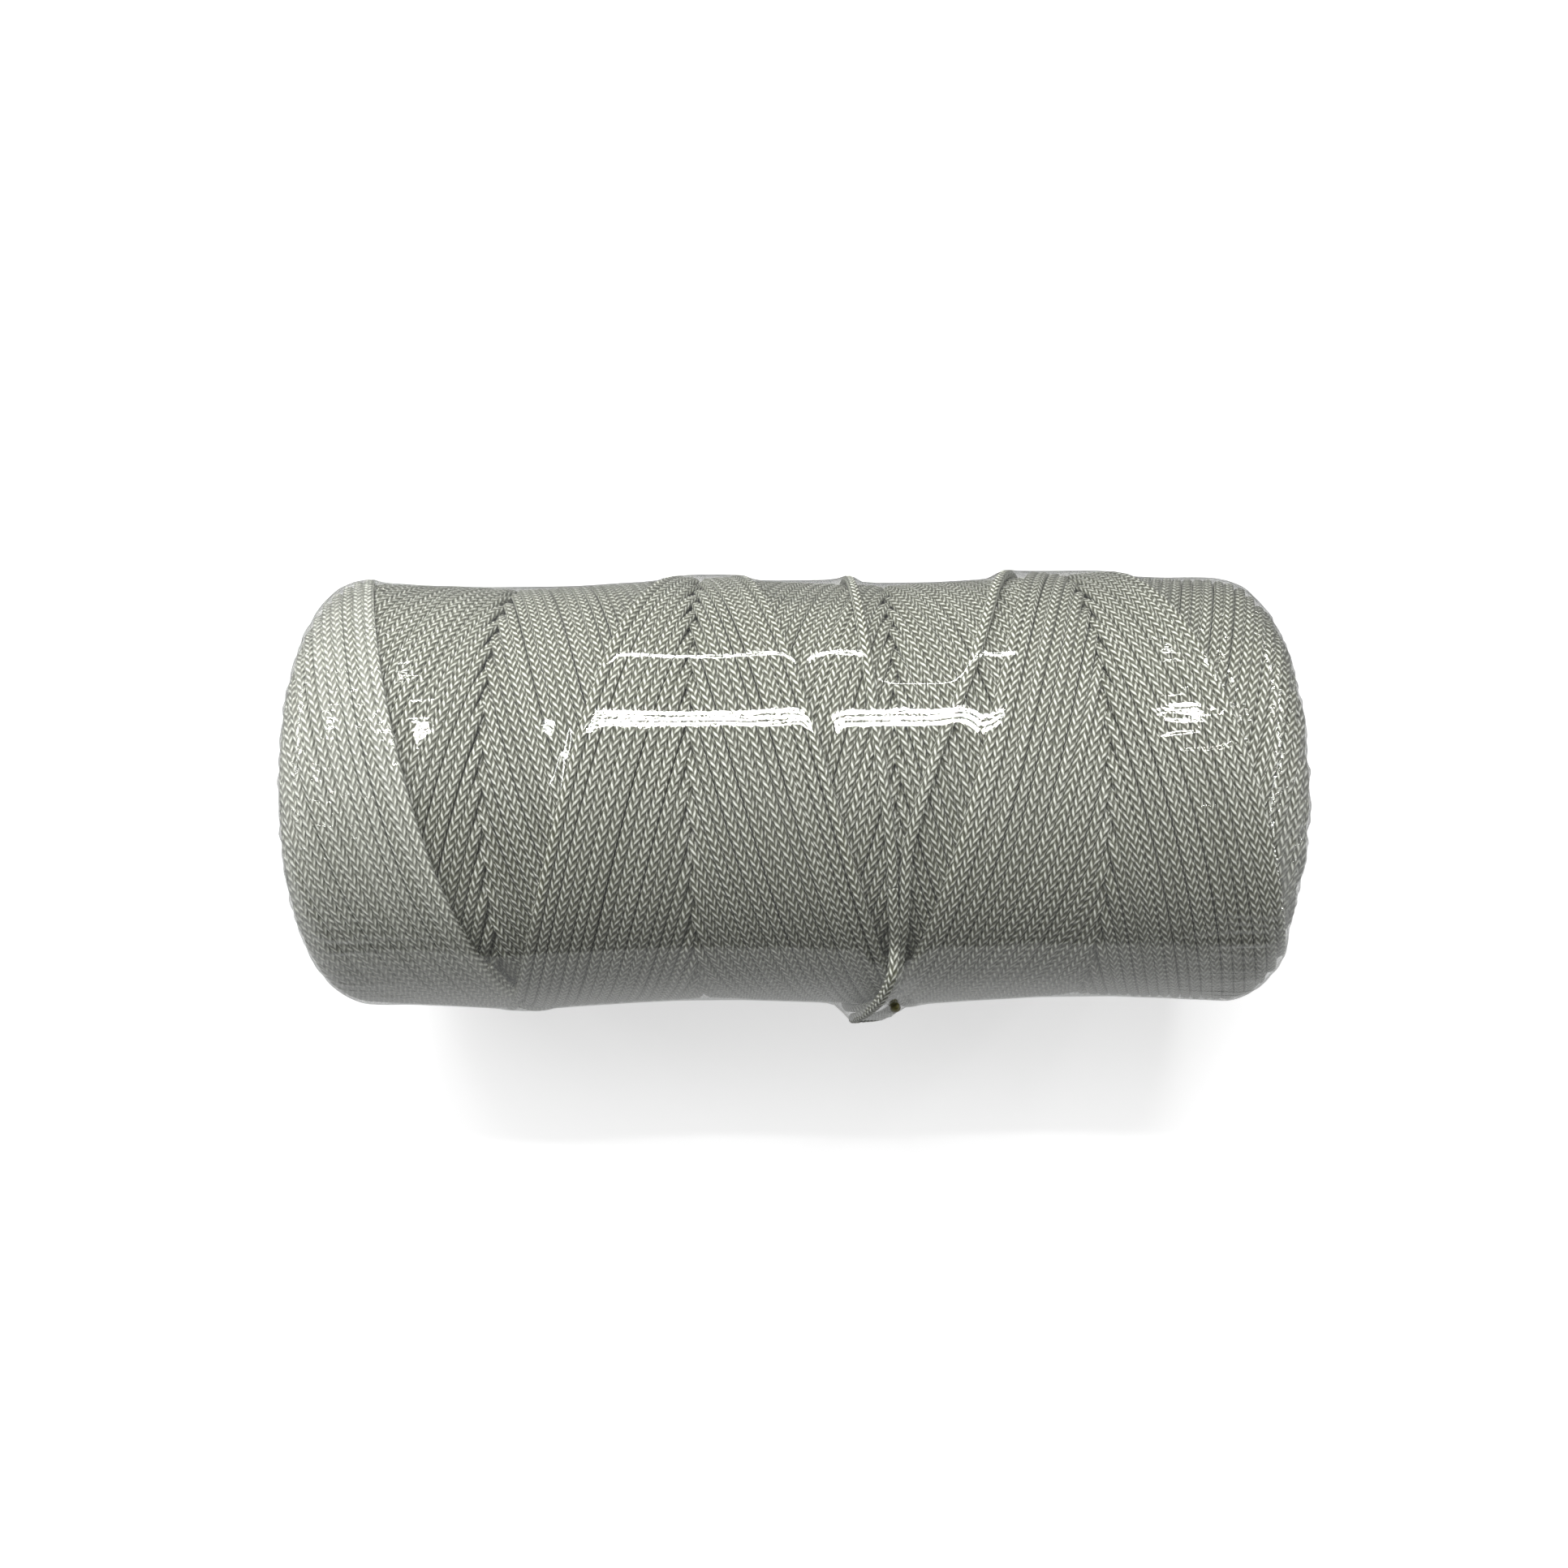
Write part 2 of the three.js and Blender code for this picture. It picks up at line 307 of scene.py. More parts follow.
def lay_cords(column, forward):
    """All the cords of a lay that show, and one more that shows in the step under the newest."""
    cords = []
    # The first column's forward band gets painted light, as if lit more from the left.
    tones = PAINTED_LIGHT_TONES if column == 0 and forward else WORN_TONES
    for age in range(STROKES):
        route = lay_route(column, forward, age)
        route[:, 0] += RNG.normal(0, STRAY_ALONG)
        route += outward_from_axis(route) * RNG.normal(0, STRAY_OUT)
        roll = RNG.normal(0, STRAY_ROLL)
        tone = RNG.uniform(*tones)
        cords.append(braid_rings(route, start=RNG.uniform(), roll=roll, tone=tone))
    route = lay_route(column, forward, 0)
    below = route - outward_from_axis(route) * LAYER
    below[:, 0] += (-0.7 if forward else 0.7) * MM
    cords.append(braid_rings(below, start=RNG.uniform(), tone=0.4))
    return cords


# The layers inside, which show at the ends of the package and through the gaps.


LOOPS_ROUND = 18
LOOP_REACH = 15
LOOP_BEND = 1.1 * MM
RING_RISE = 1.78 * MM
WINDING_SLOPE = 0.264
SLEEVE_AROUND = 72
SLEEVE_GAP = 0.1 * MM


def turned_back(radius, middle, end):
    """One end loop of an inner layer: the cord comes to the package's end and turns back."""
    angle = np.linspace(middle - LOOP_REACH, middle + LOOP_REACH, 40)
    length = np.radians(angle - middle) * radius
    retreat = np.hypot(WINDING_SLOPE * length, LOOP_BEND) - LOOP_BEND
    x = end * (HALF_LENGTH - 1.0 * MM - 1.1 * retreat)
    lift = 0.25 * MM * np.cos(np.radians(angle - middle) * 6)
    return place(x, angle, radius + lift)


def end_loops(low, high):
    """The loops of the layers between two radii, ring by ring, at both ends."""
    cords = []
    for end in (-1, 1):
        radius = low + CORD_HALF_HEIGHT + SLEEVE_GAP
        ring = 0
        while radius < high:
            for loop in range(LOOPS_ROUND):
                middle = 360 / LOOPS_ROUND * (loop + ring % 2 / 2) + RNG.normal(0, 1.2)
                grown = radius + 0.16 * MM * (loop % 2) + RNG.normal(0, 0.05) * MM
                route = turned_back(grown, middle, end)
                outward = np.array([end, 0, 0.0])
                cords.append(braid_rings(route, step=PICK / 3, outward=outward,
                                         start=RNG.uniform(), tone=RNG.uniform()))
            radius += RING_RISE
            ring += 1
    return cords


def sleeve_mesh(name, low, high):
    """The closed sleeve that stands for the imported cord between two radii."""
    half = HALF_LENGTH - 2.0 * MM
    turn = np.arange(SLEEVE_AROUND) * 360 / SLEEVE_AROUND
    outside, inside = high - SLEEVE_GAP, low + SLEEVE_GAP
    corners = ((outside, -half), (outside, half), (inside, half), (inside, -half))
    even = np.ones(SLEEVE_AROUND)
    vertices = np.concatenate([place(x * even, turn, radius * even) for radius, x in corners])
    quads = []
    for loop in range(4):
        here, there = loop * SLEEVE_AROUND, (loop + 1) % 4 * SLEEVE_AROUND
        for i in range(SLEEVE_AROUND):
            j = (i + 1) % SLEEVE_AROUND
            quads.append([here + i, there + i, there + j, here + j])
    corner = np.array(quads).ravel()
    uv = np.stack([corner % SLEEVE_AROUND * 4.0, corner // SLEEVE_AROUND * 100.0], axis=1)
    return mesh_from(name, vertices, [np.array(quads)], uv, np.full(len(vertices), 0.3))


def layer_piece(name, low, high, material):
    """A sleeve of packed cord with the end loops of its layers, as one piece."""
    cords = end_loops(low, high)
    tops.extend(cord["rings"] for cord in cords)
    piece = finished(name, braid_mesh(name, cords), material, name)
    body = sleeve_mesh(name + "_sleeve", low, high)
    sleeve = bpy.data.objects.new(name + "_sleeve", body)
    bpy.context.scene.collection.objects.link(sleeve)
    body.materials.append(material)
    activate(piece)
    sleeve.select_set(True)
    bpy.ops.object.join()
    bpy.ops.object.select_all(action="DESELECT")
    piece.name = piece.data.name = name.replace("winding", "wound")


# Grids of places along the package, a cell apart, and round it, two to a degree.

CELL = 0.5 * MM
CELLS_ROUND = 720
DEEPEST = -4 * MM
HIGHEST = 2.4 * MM


def round_package(points):
    """The radius of each point from the axis, and its cell round it."""
    radius = np.hypot(points[:, 1], points[:, 2] - AXIS_Z)
    turn = np.degrees(np.arctan2(-points[:, 1], points[:, 2] - AXIS_Z)) % 360
    return radius, (turn * 2).astype(int) % CELLS_ROUND


def tops_of_cords(cords):
    """How far out the cords reach, over a grid of places along and round the package."""
    across = int(2 * HALF_LENGTH / CELL) + 1
    reach = np.zeros((across, CELLS_ROUND))
    for rings in cords:
        points = rings.reshape(-1, 3)
        radius, j = round_package(points)
        i = np.clip(((points[:, 0] + HALF_LENGTH) / CELL).round().astype(int), 0, across - 1)
        np.maximum.at(reach, (i, j), radius)
    return reach


def shifted(grid, axis, shift):
    """The grid moved by some cells: it closes on itself round the package, and not along it."""
    if axis == 1:
        return np.roll(grid, shift, axis=1)
    return grid[np.clip(np.arange(len(grid)) + shift, 0, len(grid) - 1)]


def spread(grid, along, around, pick):
    """The highest or lowest value within a few cells."""
    for axis, size in ((0, along), (1, around)):
        best = grid
        for shift in range(-size, size + 1):
            best = pick(best, shifted(grid, axis, shift))
        grid = best
    return grid


def closed(grid, along, around):
    """The grid with its dips filled, as a taut skin over them would."""
    return spread(spread(grid, along, around, np.maximum), along, around, np.minimum)


def blurred(grid, along, around):
    """The grid smoothed over so many cells each way."""
    for axis, size in ((0, along), (1, around)):
        total = np.zeros_like(grid)
        weights = 0
        for shift in range(-2 * size, 2 * size + 1):
            weight = math.exp(-0.5 * (shift / size) ** 2)
            total += weight * shifted(grid, axis, shift)
            weights += weight
        grid = total / weights
    return grid


# The last turn and its hitch: x in millimetres, the angle, and how far above the cords below it lies.
# The last turn starts between the cords of the return lay, goes once round and comes to the hitch.

SUNK = 0.15 * MM
LAST_TURN = [
    (51.0, -136, -1.9), (48.8, -124, -0.9), (46.0, -110, 0.0), (43.0, -95, 0.0), (39.9, -80, 0.0),
    (36.6, -64, 0.0), (33.6, -48, 0.0), (30.6, -34, 0.0), (27.0, -21, 0.0), (23.8, -10, 0.0),
    (20.6, 4, 0.0), (18.6, 16, 0.0), (18.4, 28, 0.1), (18.2, 40, 0.2), (17.3, 52, 0.2), (15.4, 63, 0.1),
    (12.9, 73, 0.0), (10.9, 84, 0.0), (9.8, 100, 0.0), (9.8, 150, 0.0), (9.9, 200, 0.0),
    (10.1, 250, 0.0), (10.8, 282, 0.0), (12.2, 318, 0.0), (13.5, 342, 0.0), (14.7, 357, 0.0),
    (15.9, 373, 0.0), (16.3, 384, 0.1),
]
HITCH = [
    (16.3, 24, 0.1), (16.5, 31, 0.5), (16.9, 39, 1.1), (16.4, 47, 1.6), (14.9, 56, 1.8),
    (13.1, 66, 1.6), (11.7, 75, 1.6), (10.9, 83, 1.8), (11.4, 89, 1.9), (13.3, 88, 1.6), (15.2, 82, 1.0),
    (16.8, 75, 0.4), (17.8, 70, 0.1),
]


def smooth_stations(stations, per_station=24):
    """A smooth run of x, angle and height through the listed stations."""
    stations = np.array(stations, float)
    knots = len(stations) - 1
    fine = np.linspace(0, knots, per_station * knots + 1)
    padded = np.vstack([2 * stations[0] - stations[1], stations, 2 * stations[-1] - stations[-2]])
    base = np.minimum(fine.astype(int), knots - 1)
    u = (fine - base)[:, None]
    p0, p1, p2, p3 = (padded[base + i] for i in range(4))
    return 0.5 * (2 * p1 + (p2 - p0) * u + (2 * p0 - 5 * p1 + 4 * p2 - p3) * u ** 2
                  + (3 * p1 - p0 - 3 * p2 + p3) * u ** 3)


def rested_route(stations, reach):
    """A route that rests on the cords below it, taut over their dips."""
    run = smooth_stations(stations)
    below = spread(reach, 2, 2, np.maximum)
    i = np.clip(((run[:, 0] * MM + HALF_LENGTH) / CELL).round().astype(int), 0, len(reach) - 1)
    j = (run[:, 1] * 2).round().astype(int) % CELLS_ROUND
    ground = below[i, j]
    taut = ground.copy()
    for _ in range(60):
        taut[1:-1] = np.maximum(ground[1:-1], 0.5 * (taut[:-2] + taut[2:]))
    for _ in range(12):
        taut[1:-1] = 0.25 * taut[:-2] + 0.5 * taut[1:-1] + 0.25 * taut[2:]
    radius = taut + CORD_HALF_HEIGHT - SUNK + run[:, 2] * MM
    return place(run[:, 0] * MM, run[:, 1], radius)


# Materials.


class Finish:
    """A material's nodes, made and joined in the order that they are asked for."""

    def __init__(self, name):
        self.material = bpy.data.materials.new(name)
        self.material.use_nodes = True
        self.tree = self.material.node_tree
        self.shader = self.tree.nodes["Principled BSDF"]
        self.output = self.tree.nodes["Material Output"]

    def node(self, kind, **settings):
        made = self.tree.nodes.new("ShaderNode" + kind)
        for key, value in settings.items():
            setattr(made, key, value)
        return made

    def link(self, source, target):
        self.tree.links.new(source, target)

    def maths(self, operation, first, second=None, third=None):
        made = self.node("Math", operation=operation)
        for socket, value in zip(made.inputs, (first, second, third)):
            if value is None:
                continue
            if isinstance(value, (int, float)):
                socket.default_value = value
            else:
                self.link(value, socket)
        return made.outputs[0]

    def clamped(self, value, low, high):
        return self.maths("MINIMUM", self.maths("MAXIMUM", value, low), high)

    def ramp(self, factor, stops):
        made = self.node("ValToRGB")
        elements = made.color_ramp.elements
        while len(elements) < len(stops):
            elements.new(0.5)
        for element, (position, colour) in zip(elements, stops):
            element.position = position
            element.color = (*colour, 1)
        self.link(factor, made.inputs[0])
        return made.outputs[0]

    def noise(self, vector, scale, detail=2.0, dimensions="3D"):
        made = self.node("TexNoise", noise_dimensions=dimensions)
        made.inputs["Scale"].default_value = scale
        made.inputs["Detail"].default_value = detail
        if vector is not None:
            self.link(vector, made.inputs["Vector"])
        return made.outputs["Fac"]

    def mapped(self, vector, scale, turned=0.0):
        made = self.node("Mapping")
        made.inputs["Scale"].default_value = scale
        made.inputs["Rotation"].default_value = (0, 0, turned)
        self.link(vector, made.inputs["Vector"])
        return made.outputs["Vector"]

    def mix_colour(self, factor, first, second, blend="MIX"):
        made = self.node("Mix", data_type="RGBA", blend_type=blend)
        for socket, value in ((made.inputs[0], factor), (made.inputs[6], first), (made.inputs[7], second)):
            if isinstance(value, (int, float)):
                socket.default_value = value
            elif isinstance(value, tuple):
                socket.default_value = (*value, 1)
            else:
                self.link(value, socket)
        return made.outputs[2]

    def mix_shaders(self, factor, first, second):
        made = self.node("MixShader")
        for socket, source in zip(made.inputs, (factor, first, second)):
            self.link(source, socket)
        return made.outputs[0]

    def bump(self, height, strength, distance, normal=None):
        made = self.node("Bump")
        made.inputs["Strength"].default_value = strength
        made.inputs["Distance"].default_value = distance
        self.link(height, made.inputs["Height"])
        if normal is not None:
            self.link(normal, made.inputs["Normal"])
        return made.outputs[0]


def braided_nylon(name, light, middle, shade):
    """White braided nylon, with a painted highlight on each strand's crest and painted shade where strands
    dip.
    """
    finish = Finish(name)
    lay = finish.node("UVMap", uv_map="lay").outputs[0]
    split = finish.node("SeparateXYZ")
    finish.link(lay, split.inputs[0])
    plait, pick = split.outputs[0], split.outputs[1]
    fold = finish.maths("PINGPONG", plait, 1.0)
    odd = finish.maths("FLOORED_MODULO", finish.maths("FLOOR", plait), 2.0)
    slant = finish.maths("MULTIPLY_ADD", fold, STRAND_TILT, -STRAND_TILT / 2)
    phase = finish.maths("ADD", finish.maths("ADD", pick, slant), finish.maths("MULTIPLY", odd, 0.5))
    wave = finish.maths("COSINE", finish.maths("MULTIPLY", phase, 2 * math.pi))
    strand = finish.maths("MULTIPLY_ADD", wave, 0.5, 0.5)
    groove = finish.maths("ABSOLUTE", finish.maths("SINE", finish.maths("MULTIPLY", plait, math.pi)))
    edge = finish.maths("MULTIPLY_ADD", groove, 0.45, 0.55)
    raised = finish.maths("MULTIPLY", finish.maths("POWER", strand, 0.7), edge)
    crest = finish.maths("MULTIPLY", finish.maths("POWER", strand, 2.2), edge)
    # Filaments run along each strand, across the direction in which the phase grows.
    filament_place = finish.node("CombineXYZ")
    finish.link(finish.maths("MULTIPLY", phase, 11.0), filament_place.inputs[0])
    finish.link(finish.maths("MULTIPLY", plait, 0.8), filament_place.inputs[1])
    filaments = finish.noise(filament_place.outputs[0], 1.0, detail=2.0)
    relief = finish.bump(raised, 1.0, 0.2 * MM)
    fine = finish.bump(filaments, 0.6, 0.06 * MM, relief)
    finish.link(fine, finish.shader.inputs["Normal"])
    tone = finish.node("Attribute", attribute_name="tone").outputs["Fac"]
    # Every other plait gets painted shade, as if the strands of one tilt caught less light.
    lean = finish.maths("MULTIPLY_ADD", odd, -0.22, 1.0)
    painted_highlight = finish.maths("MULTIPLY", crest, lean)
    ragged = finish.maths("MULTIPLY_ADD", finish.maths("SUBTRACT", filaments, 0.5), 0.5, painted_highlight)
    # The ramp runs from painted shade in the dips, through the middle colour, to a painted highlight on the
    # crests.
    colour = finish.ramp(ragged, [(0.0, shade), (0.34, middle), (0.85, light)])
    # A tone below 0 mixes painted light in, towards the light colour; a tone above 0 darkens the cord at
    # random as wear.
    painted_light_share = finish.maths("MULTIPLY", finish.maths("MINIMUM", tone, 0), -0.22)
    painted_lit_colour = finish.mix_colour(painted_light_share, colour, light)
    wear = finish.maths("MULTIPLY", finish.maths("MAXIMUM", tone, 0), 0.2)
    worn = finish.mix_colour(wear, painted_lit_colour, shade)
    finish.link(worn, finish.shader.inputs["Base Color"])
    finish.shader.inputs["Roughness"].default_value = 0.36
    finish.shader.inputs["Specular IOR Level"].default_value = 0.8
    finish.shader.inputs["Sheen Weight"].default_value = 0.1
    return finish.material


def paperboard(name, light, dark):
    """Grey-brown paper with long fibres and a few flecks."""
    finish = Finish(name)
    place_on = finish.node("TexCoord").outputs["Object"]
    fibres = finish.noise(finish.mapped(place_on, (260, 1400, 1400)), 1.0, detail=6)
    flecks = finish.noise(place_on, 900, detail=3)
    colour = finish.ramp(fibres, [(0.3, dark), (0.7, light)])
    flecked = finish.mix_colour(finish.maths("GREATER_THAN", flecks, 0.68), colour, dark)
    finish.link(flecked, finish.shader.inputs["Base Color"])
    finish.link(finish.bump(fibres, 0.4, 0.08 * MM), finish.shader.inputs["Normal"])
    finish.shader.inputs["Roughness"].default_value = 0.85
    return finish.material


def melted_nylon(name):
    """The olive, glassy bead of a heat-sealed cord end."""
    finish = Finish(name)
    place_on = finish.node("TexCoord").outputs["Object"]
    cloud = finish.noise(place_on, 1600, detail=3)
    finish.link(finish.ramp(cloud, [(0.3, (0.10, 0.09, 0.02)), (0.7, (0.26, 0.24, 0.07))]),
                finish.shader.inputs["Base Color"])
    finish.link(finish.bump(cloud, 0.5, 0.1 * MM), finish.shader.inputs["Normal"])
    finish.shader.inputs["Roughness"].default_value = 0.28
    return finish.material


def shrink_film(name):
    """Clear glossy film: a mirror at a slant, a faint haze face on, and puckers near the ends."""
    finish = Finish(name)
    lay = finish.node("UVMap", uv_map="lay").outputs[0]
    wide = finish.noise(finish.mapped(lay, (60, 40, 1)), 1.0, detail=2)
    contact = finish.noise(finish.mapped(lay, (620, 560, 1)), 1.0, detail=2)
    normal = finish.bump(wide, 0.3, 0.5 * MM)
    normal = finish.bump(contact, 0.3, 0.06 * MM, normal)
    place_on = finish.node("SeparateXYZ")
    finish.link(finish.node("TexCoord").outputs["Object"], place_on.inputs[0])
    from_middle = finish.maths("ABSOLUTE", place_on.outputs[0])
    past_flat = finish.maths("SUBTRACT", from_middle, HALF_LENGTH - 11 * MM)
    near_end = finish.clamped(finish.maths("MULTIPLY", past_flat, 120), 0, 1)
    puckers = finish.noise(finish.mapped(lay, (700, 45, 1)), 1.0, detail=3)
    normal = finish.bump(finish.maths("MULTIPLY", puckers, near_end), 1.0, 0.35 * MM, normal)
    # Long slanting creases where the film was drawn in towards the ends.
    slanting = finish.noise(finish.mapped(lay, (260, 45, 1), 0.6), 1.0, detail=1)
    from_ridge = finish.maths("ABSOLUTE", finish.maths("MULTIPLY_ADD", slanting, 2.0, -1.0))
    ridge = finish.maths("SUBTRACT", 1.0, from_ridge)
    drawn_in = finish.clamped(finish.maths("MULTIPLY_ADD", past_flat, 50, 0.9), 0, 1)
    creases = finish.maths("MULTIPLY", finish.maths("POWER", ridge, 14.0), drawn_in)
    normal = finish.bump(creases, 0.8, 0.3 * MM, normal)
    facing = finish.node("LayerWeight")
    finish.link(normal, facing.inputs["Normal"])
    slant = finish.maths("POWER", facing.outputs["Facing"], 3.0)
    shine = finish.maths("MULTIPLY_ADD", slant, 0.5, 0.045)
    clear = finish.node("BsdfTransparent")
    mirror = finish.node("BsdfGlossy")
    mirror.inputs["Roughness"].default_value = 0.035
    mirror.inputs["Color"].default_value = (0.95, 0.96, 0.95, 1)
    finish.link(normal, mirror.inputs["Normal"])
    haze = finish.node("BsdfDiffuse")
    haze.inputs["Color"].default_value = (0.75, 0.77, 0.75, 1)
    see = finish.mix_shaders(shine, clear.outputs[0], mirror.outputs[0])
    cloud = finish.noise(finish.mapped(lay, (6, 9, 1)), 1.0, detail=3)
    veil = finish.mix_shaders(finish.maths("MULTIPLY_ADD", cloud, 0.05, -0.012), see, haze.outputs[0])
    finish.link(veil, finish.output.inputs["Surface"])
    finish.tree.nodes.remove(finish.shader)
    return finish.material


# The camera: straight above, close by, and a hair off level.

CAMERA_HEIGHT = 264.4 * MM
CAMERA_SIDE = 1.6 * MM
CAMERA_TILT = (-0.0009, 0.0066, -0.0105)


def overhead_camera():
    camera = bpy.data.objects.new("camera", bpy.data.cameras.new("camera"))
    bpy.context.scene.collection.objects.link(camera)
    camera.data.lens = 31.7
    camera.data.sensor_width = 36
    camera.location = (0, CAMERA_SIDE, AXIS_Z + CAMERA_HEIGHT)
    camera.rotation_euler = CAMERA_TILT
    bpy.context.scene.camera = camera
    bpy.context.scene.view_settings.view_transform = "Standard"


overhead_camera()


# The winding.

# For each cord: the light colour is the painted highlight on strand crests, the shade colour the olive
# painted shade in the dips.
outer_cord = braided_nylon("outer_cord", (0.90, 0.915, 0.84), (0.375, 0.39, 0.32), (0.082, 0.083, 0.055))
inner_cord = braided_nylon("inner_cord", (0.85, 0.86, 0.80), (0.30, 0.31, 0.27), (0.08, 0.08, 0.06))

tops = []


def wound_bands():
    """The newest forward and return cords of every column."""
    for column in range(COLUMNS):
        for forward in (True, False):
            name = f"column_{column + 1}_{'forward' if forward else 'return'}_band"
            cords = lay_cords(column, forward)
            tops.extend(cord["rings"] for cord in cords)
            finished(name.replace("band", "cords"), braid_mesh(name, cords), outer_cord, name)


def tied_cord(name, stations, reach, start, tone, replaced):
    """A single cord that rests on the bands: the last turn, or the strand of its hitch."""
    cord = braid_rings(rested_route(stations, reach), start=start, tone=tone)
    tops.append(cord["rings"])
    finished(name, braid_mesh(name, [cord]), outer_cord, replaced)
    return cord


wound_bands()
band_reach = tops_of_cords(tops)
tied_cord("outer_turn_cord", LAST_TURN, band_reach, 0.2, 0.15, "outer_turn")
hitch = tied_cord("hitch_cord", HITCH, band_reach, 0.6, 0.1, "hitch_strand")

TUBE_OUTSIDE = tube_high.y
INNER_LAYERS_OUTSIDE = 23.6 * MM
MIDDLE_LAYERS_OUTSIDE = 29.2 * MM
OUTER_LAYERS_OUTSIDE = 34.8 * MM
layer_piece("winding_inner_layers", TUBE_OUTSIDE + 0.2 * MM, INNER_LAYERS_OUTSIDE, inner_cord)
layer_piece("winding_middle_layers", INNER_LAYERS_OUTSIDE, MIDDLE_LAYERS_OUTSIDE, inner_cord)
layer_piece("winding_outer_layers", MIDDLE_LAYERS_OUTSIDE, OUTER_LAYERS_OUTSIDE, inner_cord)


# The tube: three plies of paper, each closed on the next, with softened and slightly frayed rims.

PLY_SIDES = 96
RIM_DEPTH = 1.5 * MM
BORE_RADIUS = 15 * MM
PLY_LAP = 0.05 * MM


def frayed(turn, fray):
    """How far a paper rim is worn back, round its edge."""
    wave = math.sin(7 * turn + fray) + 0.6 * math.sin(17 * turn + 2 * fray) + 0.4 * math.sin(41 * turn)
    return 0.12 * MM * (1.5 + wave)


def paper_ply(name, inside, outside, fray, material, replaced):
    """A ply of the tube, from a cylinder whose ends are inset and bridged to open the bore."""
    half = HALF_LENGTH - 0.05 * MM
    bpy.ops.mesh.primitive_cylinder_add(vertices=PLY_SIDES, radius=outside, depth=2 * half,
                                        location=(0, 0, AXIS_Z), rotation=(0, math.pi / 2, 0))
    ply = bpy.context.active_object
    ply.name = ply.data.name = name
    bpy.ops.object.transform_apply(location=True, rotation=True, scale=True)
    bpy.ops.object.mode_set(mode="EDIT")
    bpy.ops.mesh.select_mode(type="FACE")
    select_faces(ply, lambda face: abs(face.normal.x) > 0.9)
    bpy.ops.mesh.inset(thickness=outside - inside)
    bpy.ops.mesh.bridge_edge_loops()
    for cut in (-half + RIM_DEPTH, half - RIM_DEPTH):
        bpy.ops.mesh.select_all(action="SELECT")
        bpy.ops.mesh.bisect(plane_co=(cut, 0, 0), plane_no=(1, 0, 0))
    bpy.ops.mesh.select_all(action="SELECT")
    bpy.ops.mesh.normals_make_consistent(inside=False)
    bpy.ops.object.mode_set(mode="OBJECT")
    for vertex in ply.data.vertices:
        if abs(vertex.co.x) > half - 0.1 * MM:
            turn = math.atan2(vertex.co.y, vertex.co.z - AXIS_Z)
            vertex.co.x -= math.copysign(frayed(turn, fray), vertex.co.x)
    activate(ply)
    rim = ply.modifiers.new("soft_rim", "BEVEL")
    rim.width = 0.16 * MM
    rim.segments = 2
    rim.limit_method = "ANGLE"
    bpy.ops.object.modifier_apply(modifier="soft_rim")
    bpy.ops.object.shade_smooth_by_angle(angle=math.radians(40))
    ply.data.materials.append(material)
    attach(ply, "root")
    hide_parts(replaced)
    bpy.ops.object.select_all(action="DESELECT")


def select_faces(piece, wanted):
    """Selects the faces, of a piece that is being edited, for which wanted is true."""
    bpy.ops.mesh.select_all(action="DESELECT")
    edited = bmesh.from_edit_mesh(piece.data)
    edited.faces.ensure_lookup_table()
    for face in edited.faces:
        face.select_set(wanted(face))
    bmesh.update_edit_mesh(piece.data)


kraft = paperboard("kraft_paper", (0.42, 0.30, 0.19), (0.24, 0.16, 0.09))
grey_board = paperboard("grey_board", (0.34, 0.31, 0.27), (0.20, 0.18, 0.15))
liner_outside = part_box("core_tube_liner")[1].y + PLY_LAP
wall_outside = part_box("core_tube_wall")[1].y + 2 * PLY_LAP
paper_ply("tube_liner_paper", BORE_RADIUS, liner_outside, 0.4, kraft, "core_tube_liner")
paper_ply("tube_wall_board", liner_outside, wall_outside, 1.7, grey_board, "core_tube_wall")
paper_ply("tube_cover_paper", wall_outside, TUBE_OUTSIDE, 3.1, kraft, "core_tube_cover")


def starting_end():
    """The cord's first end, laid along the tube under the first layer."""
    x = np.linspace(-62, -22, 60) * MM
    even = np.ones_like(x)
    cord = braid_rings(place(x, 200 * even, 19.4 * MM * even), tone=0.5)
    finished("starting_end_cord", braid_mesh("starting_end_cord", [cord]), inner_cord, "starting_end")


starting_end()


TIP_RADIUS = 0.98 * MM


def melted_tip(material):
    """The cord's end, melted to a drooping bead: a sphere drawn out, flattened and lumped."""
    last, before = hitch["rings"][-1].mean(axis=0), hitch["rings"][-4].mean(axis=0)
    heading = Vector(last - before).normalized()
    bpy.ops.mesh.primitive_uv_sphere_add(segments=20, ring_count=12, radius=TIP_RADIUS)
    bead = bpy.context.active_object
    bead.name = bead.data.name = "melted_tip"
    bpy.ops.object.mode_set(mode="EDIT")
    bpy.ops.mesh.select_all(action="SELECT")
    bpy.ops.transform.resize(value=(1.0, 0.86, 1.5), center_override=(0, 0, 0))
    select_faces(bead, lambda face: face.calc_center_median().z > 0.7 * MM)
    bpy.ops.transform.resize(value=(0.8, 1.05, 0.85), center_override=(0.15 * MM, 0, 0.7 * MM))
    bpy.ops.mesh.select_all(action="SELECT")
    bpy.ops.mesh.subdivide(number_cuts=1, smoothness=0.6)
    bpy.ops.object.mode_set(mode="OBJECT")
    for vertex in bead.data.vertices:
        lump = math.sin(2600 * vertex.co.x + 1) * math.sin(2100 * vertex.co.y) * math.cos(1900 * vertex.co.z)
        vertex.co *= 1 + 0.06 * lump
    bead.location = Vector(last) + heading * 0.7 * MM
    bead.rotation_euler = heading.to_track_quat("Z", "Y").to_euler()
    activate(bead)
    bpy.ops.object.transform_apply(location=True, rotation=True, scale=True)
    bpy.ops.object.shade_smooth()
    bead.data.materials.append(material)
    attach(bead, "root")
    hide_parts("sealed_tip")
    bpy.ops.object.select_all(action="DESELECT")


melted_tip(melted_nylon("melted_nylon"))


# The film.

